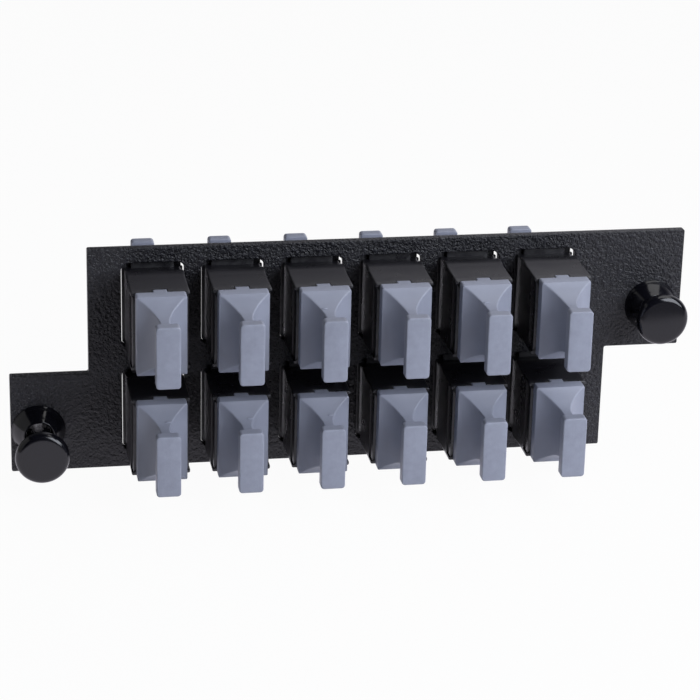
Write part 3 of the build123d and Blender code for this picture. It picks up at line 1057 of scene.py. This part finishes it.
class ADAPTERPLATE_OT_latches(bpy.types.Operator):
    """Makes the two latches: collars with slotted barrels, and plungers"""

    bl_idname = "adapter_plate.latches"
    bl_label = "Latches"

    def execute(self, context):
        latch = settings_of(context, "latch")
        nylon = latch_nylon(context)
        plate_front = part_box("plate")[0].y
        shank = settings_of(context, "plate").hole_radius - latch.hole_gap
        for side in SIDES:
            node = "latch_grommet_" + side
            low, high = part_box(node)
            x, _, z = middle_of(node)
            shape = Shape()
            profile = collar_profile(latch, low.y, plate_front, (high.x - low.x) / 2, shank)
            shape.add(revolved(profile), rows_close=True)
            leg = leg_grid(latch, high.y)
            for i in range(4):
                shape.add(turned_about_y(leg, i * math.pi / 2))
            collar = make_piece("latch_collar_" + side, shape, (x, 0, z), sharp=LATCH_SHARP)
            finish_piece(collar, "carrier", "latch_nylon", nylon, node)
            node = "latch_plunger_" + side
            low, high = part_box(node)
            shape = Shape()
            shape.add(revolved(knob_profile(latch, low.y, high.y, (high.x - low.x) / 2)), ends=False)
            plunger = make_piece("latch_knob_" + side, shape, (x, 0, z), sharp=LATCH_SHARP)
            finish_piece(plunger, "plunger_" + side, "latch_nylon", nylon, node)
        return {"FINISHED"}


class ADAPTERPLATE_OT_solids(bpy.types.Operator):
    """Finishes the guides and the sleeves, the solids that stay as they are"""

    bl_idname = "adapter_plate.solids"
    bl_label = "Solids"

    def execute(self, context):
        for name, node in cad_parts.items():
            if node.hide_render:
                continue
            node.data.materials.clear()
            node.data.materials.append(sleeve_ceramic() if "sleeve" in name else adapter_plastic(context))
        return {"FINISHED"}


class ADAPTERPLATE_OT_stage(bpy.types.Operator):
    """Makes the floor, the soft lights, the room and the camera"""

    bl_idname = "adapter_plate.stage"
    bl_label = "Stage"

    def execute(self, context):
        stage = settings_of(context, "stage")
        scene = context.scene
        scene.view_settings.view_transform = "Standard"
        aim = Vector((stage.aim_x, stage.aim_y, stage.aim_z))
        make_floor(stage)
        make_room(scene, stage)
        for name, turn, rise, distance, size, power, tint in LIGHTS:
            soft_light(name, aim, turn, rise, distance, size, getattr(stage, power), tint)
        make_camera(scene, stage, aim)
        return {"FINISHED"}


def direction(turn, rise):
    """The unit vector towards a place at that turn to the right of straight on and that rise."""
    return Vector((math.sin(turn) * math.cos(rise), -math.cos(turn) * math.cos(rise), math.sin(rise)))


def make_floor(stage):
    """A wide pale disc under the plate. Its radius runs over the rows and its angle over the columns.

    The camera sees it white, with a little of the shadow. To other rays it is white only near the plate."""
    radius = stage.floor_radius * np.array([0.0002, 0.02, 0.2, 1.0])[:, None]
    turn = full_turn(64)
    grid = stack(stage.aim_x + radius * np.cos(turn), radius * np.sin(turn), np.full((1, 1), cad_box[0].z))
    shape = Shape()
    shape.add(grid, ends=False)
    shape.faces.append(list(range(64)))
    floor = make_piece("floor", shape)
    material, tree, shader, position = blank_material("Pale floor")
    feed(tree, shader, {"Base Color": (*stage.floor_colour, 1), "Roughness": 0.9, "Specular IOR Level": 0.0})
    forwards = add_node(tree, "ShaderNodeSeparateXYZ", {0: position}).outputs["Y"]
    sheet = remap(
        tree, forwards, -stage.sheet_front - SHEET_FADE, -stage.sheet_front, stage.floor_front,
        interpolation_type="SMOOTHSTEP",
    )
    ray = add_node(tree, "ShaderNodeLightPath").outputs
    camera, glossy = ray["Is Camera Ray"], ray["Is Glossy Ray"]
    white = add_node(tree, "ShaderNodeEmission", {
        "Color": blend_colours(tree, camera, SHEET_TINT, WHITE),
        "Strength": calculate(tree, "MAXIMUM", sheet, camera),
    })
    seen = calculate(tree, "MAXIMUM", camera, glossy)
    mix = add_node(tree, "ShaderNodeMixShader", {
        "Fac": calculate(tree, "MULTIPLY", seen, 1 - stage.shadow_share),
        1: shader.outputs["BSDF"],
        2: white.outputs["Emission"],
    })
    feed(tree, tree.nodes["Material Output"], {"Surface": mix.outputs["Shader"]})
    floor.data.materials.append(material)


def make_room(scene, stage):
    """A room with a white backdrop behind the plate, dimmer in front and on the left.

    The camera sees it white all over."""
    world = bpy.data.worlds.new("Pale room")
    world.use_nodes = True
    scene.world = world
    tree = world.node_tree
    way = add_node(tree, "ShaderNodeTexCoord").outputs["Generated"]
    part = add_node(tree, "ShaderNodeSeparateXYZ", {0: way}).outputs
    backwards = remap(
        tree, part["Y"], 0.0, 0.5, stage.room_front, stage.room_rear, interpolation_type="SMOOTHSTEP"
    )
    rightwards = remap(tree, part["X"], 0.02, 0.3, 0.08)
    background = tree.nodes["Background"]
    strength = calculate(tree, "MULTIPLY", backwards, rightwards)
    feed(tree, background, {"Color": (*ROOM_TINT, 1), "Strength": strength})
    white = add_node(tree, "ShaderNodeBackground", {"Color": (*WHITE, 1), "Strength": 1.0})
    mix = add_node(tree, "ShaderNodeMixShader", {
        "Fac": add_node(tree, "ShaderNodeLightPath").outputs["Is Camera Ray"],
        1: background.outputs["Background"],
        2: white.outputs["Background"],
    })
    feed(tree, tree.nodes["World Output"], {"Surface": mix.outputs["Shader"]})


def soft_light(name, aim, turn, rise, distance, size, power, tint):
    """A square soft light that faces the plate from that turn and rise, in degrees and metres."""
    lamp = bpy.data.lights.new(name, "AREA")
    lamp.energy = power
    lamp.color = tint
    lamp.shape = "SQUARE"
    lamp.size = size
    back = direction(math.radians(turn), math.radians(rise))
    light = bpy.data.objects.new(name, lamp)
    light.location = aim + back * distance
    light.rotation_euler = (-back).to_track_quat("-Z", "Y").to_euler()
    bpy.context.scene.collection.objects.link(light)


def make_camera(scene, stage, aim):
    """The camera, turned about its line of sight by the roll."""
    back = direction(stage.camera_turn, stage.camera_rise)
    right = (-back).cross(Vector((0, 0, 1))).normalized()
    up = right.cross(-back)
    roll = stage.camera_roll
    rolled_right = math.cos(roll) * right + math.sin(roll) * up
    rolled_up = math.cos(roll) * up - math.sin(roll) * right
    place = aim + back * stage.camera_distance
    camera_data = bpy.data.cameras.new("Camera")
    camera_data.lens = stage.camera_lens
    camera_data.sensor_width = 36.0
    camera_data.clip_start = 0.01
    camera = bpy.data.objects.new("Camera", camera_data)
    turned = Matrix((rolled_right, rolled_up, back)).transposed().to_4x4()
    camera.matrix_world = Matrix.Translation(place) @ turned
    scene.collection.objects.link(camera)
    scene.camera = camera


OPERATORS = (
    ADAPTERPLATE_OT_plate,
    ADAPTERPLATE_OT_adapters,
    ADAPTERPLATE_OT_caps,
    ADAPTERPLATE_OT_latches,
    ADAPTERPLATE_OT_solids,
    ADAPTERPLATE_OT_stage,
)


class ADAPTERPLATE_PT_panel(bpy.types.Panel):
    """Lists the steps and the settings of the adapter plate"""

    bl_idname = "ADAPTERPLATE_PT_panel"
    bl_label = "Adapter Plate"
    bl_space_type = "VIEW_3D"
    bl_region_type = "UI"
    bl_category = "Adapter Plate"

    def draw(self, context):
        for operator in OPERATORS:
            self.layout.operator(operator.bl_idname)
        for part, group in SETTINGS.items():
            box = self.layout.box()
            box.label(text=part.capitalize())
            for name in group.__annotations__:
                box.prop(settings_of(context, part), name)


def register():
    for group in SETTINGS.values():
        bpy.utils.register_class(group)
    for part, group in SETTINGS.items():
        setattr(bpy.types.Scene, "adapter_plate_" + part, bpy.props.PointerProperty(type=group))
    for operator in OPERATORS:
        bpy.utils.register_class(operator)
    bpy.utils.register_class(ADAPTERPLATE_PT_panel)


def unregister():
    bpy.utils.unregister_class(ADAPTERPLATE_PT_panel)
    for operator in reversed(OPERATORS):
        bpy.utils.unregister_class(operator)
    for part in SETTINGS:
        delattr(bpy.types.Scene, "adapter_plate_" + part)
    for group in reversed(tuple(SETTINGS.values())):
        bpy.utils.unregister_class(group)


def main():
    register()
    bpy.ops.adapter_plate.plate()
    bpy.ops.adapter_plate.adapters()
    bpy.ops.adapter_plate.caps()
    bpy.ops.adapter_plate.latches()
    bpy.ops.adapter_plate.solids()
    bpy.ops.adapter_plate.stage()


if __name__ == "__main__":
    main()
